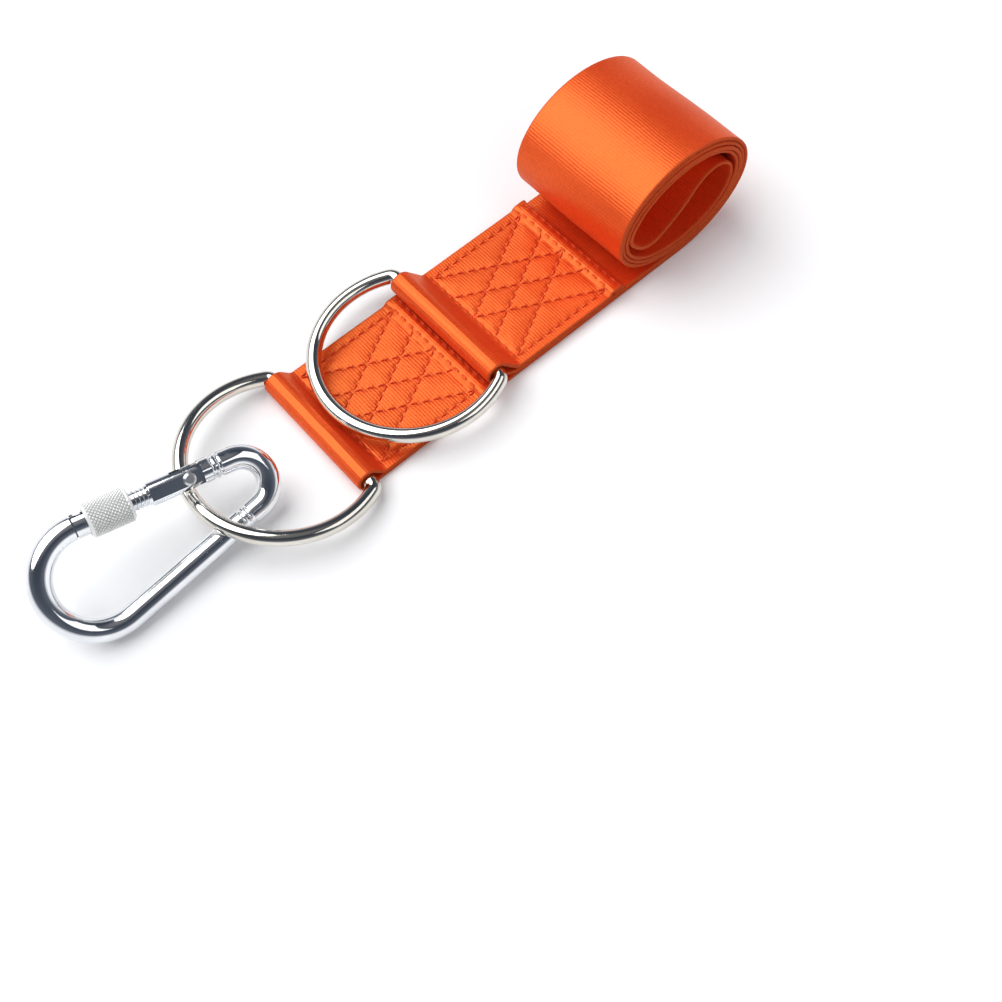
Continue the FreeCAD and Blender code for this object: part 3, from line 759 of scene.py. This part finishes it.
def add_spring(mat):
    """The gate's compression spring with closed end turns."""
    along, turn = joint_axis("plunger_slide")
    local = node_points("gate_spring") @ turn
    low, high = local.min(0), local.max(0)
    middle = (low + high) / 2
    wire = SPRING_WIRE_R * MM
    first, last = low[0] + wire, high[0] - wire
    turns = np.linspace(0, SPRING_TURNS, SPRING_TURNS * SPRING_POINTS + 1)
    x = np.interp(turns, (0, 1, SPRING_TURNS - 1, SPRING_TURNS),
                  (first, first + 2 * wire, last - 2 * wire, last))
    zero = np.zeros(len(turns))
    radial = np.stack([zero, np.cos(2 * np.pi * turns), np.sin(2 * np.pi * turns)], 1)
    coil = np.stack([x, zero + middle[1], zero + middle[2]], 1) + SPRING_R * MM * radial
    section = np.linspace(0, 2 * np.pi, 10, endpoint=False)[None, :, None]
    round_wire = np.cos(section) * radial[:, None, :] + np.sin(section) * np.array([1, 0, 0])
    points = coil[:, None, :] + wire * round_wire
    faces = tube_faces(*points.shape[:2], flip=True)
    mesh = smooth_mesh("spring", points.reshape(-1, 3) @ turn.T, faces)
    spring = new_object("coil_spring", mesh, mat, "gate", ["gate_spring"])
    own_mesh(spring)


def repaint(mat, *nodes):
    for node in nodes:
        materials = frame["nodes"][node].data.materials
        materials.clear()
        materials.append(mat)


# ---------------------------------------------------------------- studio

def add_floor():
    mesh = bpy.data.meshes.new("floor")
    far = FLOOR_HALF
    corners = [(-far, -far, 0), (far, -far, 0), (far, far, 0), (-far, far, 0)]
    mesh.from_pydata(corners, [], [(0, 1, 2, 3)])
    floor = bpy.data.objects.new("floor", mesh)
    floor.location.z = -FLOOR_GAP * MM
    bpy.context.scene.collection.objects.link(floor)
    mesh.materials.append(floor_material())


def add_light(name, place, target, size, power):
    light = bpy.data.lights.new(name, "AREA")
    light.shape = "RECTANGLE"
    light.size, light.size_y = size
    light.energy = power
    obj = bpy.data.objects.new(name, light)
    obj.location = place
    obj.rotation_euler = (Vector(target) - Vector(place)).to_track_quat("-Z", "Y").to_euler()
    bpy.context.scene.collection.objects.link(obj)
    return obj


def add_sun(name, direction, spread, power):
    """A far round softbox: it lights the floor evenly out to the horizon."""
    light = bpy.data.lights.new(name, "SUN")
    light.angle = math.radians(spread)
    light.energy = power
    obj = bpy.data.objects.new(name, light)
    obj.rotation_euler = (-Vector(direction)).to_track_quat("-Z", "Y").to_euler()
    bpy.context.scene.collection.objects.link(obj)


def studio():
    """A pale horizon under a dark ceiling, a broad key light and two softboxes."""
    world = bpy.data.worlds.new("studio")
    bpy.context.scene.world = world
    world.use_nodes = True
    n = Nodes(world.node_tree)
    direction = n.add("ShaderNodeTexCoord").outputs["Generated"]
    split = n.add("ShaderNodeSeparateXYZ")
    n.link(direction, split.inputs[0])
    glow = n.ramp(split.outputs[2], [
        (0.00, (0.93, 0.93, 0.94)), (0.14, (0.62, 0.62, 0.64)), (0.27, (0.12, 0.135, 0.165)),
        (0.80, (0.05, 0.06, 0.08)), (1.00, (0.20, 0.20, 0.21)),
    ])
    back = n.add("ShaderNodeBackground", in_Strength=1.0)
    n.link(glow, back.inputs["Color"])
    out = n.add("ShaderNodeOutputWorld")
    n.link(back.outputs[0], out.inputs[0])
    centre = (0.0, 0.0, 0.02)
    add_sun("key", (-0.26, 0.50, 0.83), 70.0, 3.3)
    add_light("right", (0.60, -0.52, 0.86), centre, (1.15, 0.55), 2.8)
    fill = add_light("fill", (-0.15, -1.05, 0.75), centre, (1.20, 0.70), 3.1)
    fill.visible_glossy = False
    view = bpy.context.scene.view_settings
    view.view_transform = "Standard"
    view.look = "None"


def add_camera():
    """Looks down at the strap over its -Y edge. Its place is in the strap's own frame."""
    camera = bpy.data.cameras.new("camera")
    camera.sensor_width = 36.0
    camera.lens = 47.235
    camera.clip_start = 0.01
    camera.clip_end = 100.0
    obj = bpy.data.objects.new("camera", camera)
    right = Vector((0.7547, -0.6536, -0.0563))
    down = Vector((-0.6001, -0.6531, -0.4619))
    ahead = Vector((0.2651, 0.3824, -0.8852))
    turn = Matrix((right, -down, -ahead)).transposed()
    place = Vector(in_frame((-58.75, -211.29, 359.09)))
    obj.matrix_world = Matrix.Translation(place) @ turn.to_4x4()
    bpy.context.scene.collection.objects.link(obj)
    bpy.context.scene.camera = obj


# ---------------------------------------------------------------- build

nickel = plated_material("nickel", (0.76, 0.73, 0.67, 1), (0.66, 0.63, 0.57, 1), 0.05, 0.07)
zinc = plated_material("zinc", (0.86, 0.88, 0.90, 1), (0.76, 0.78, 0.81, 1), 0.05, 0.08)
# The sleeve gets painted shade in its knurl's grooves.
sleeve_finish_and_shade = plated_material(
    "sleeve_finish_and_shade", (0.96, 0.97, 0.95, 1), (0.88, 0.89, 0.87, 1), 0.36, 0.14,
    metallic=0.45, painted_shade_attribute="knurl_depth",
)
plain_steel = plated_material("plain_steel", (0.66, 0.67, 0.68, 1), (0.56, 0.57, 0.58, 1), 0.22, 0.16)

belt_mesh, belt_length = webbing_mesh()
belt = new_object("belt", belt_mesh, webbing_material(), "strap", ["webbing_belt"])
add_threads(thread_material())
add_sleeve(sleeve_finish_and_shade)
add_spring(plain_steel)
repaint(nickel, "lower_d_ring", "upper_d_ring")
repaint(zinc, "carabiner_body", "carabiner_gate")
repaint(plain_steel, "gate_rivet", "gate_plunger")
add_floor()
studio()
add_camera()
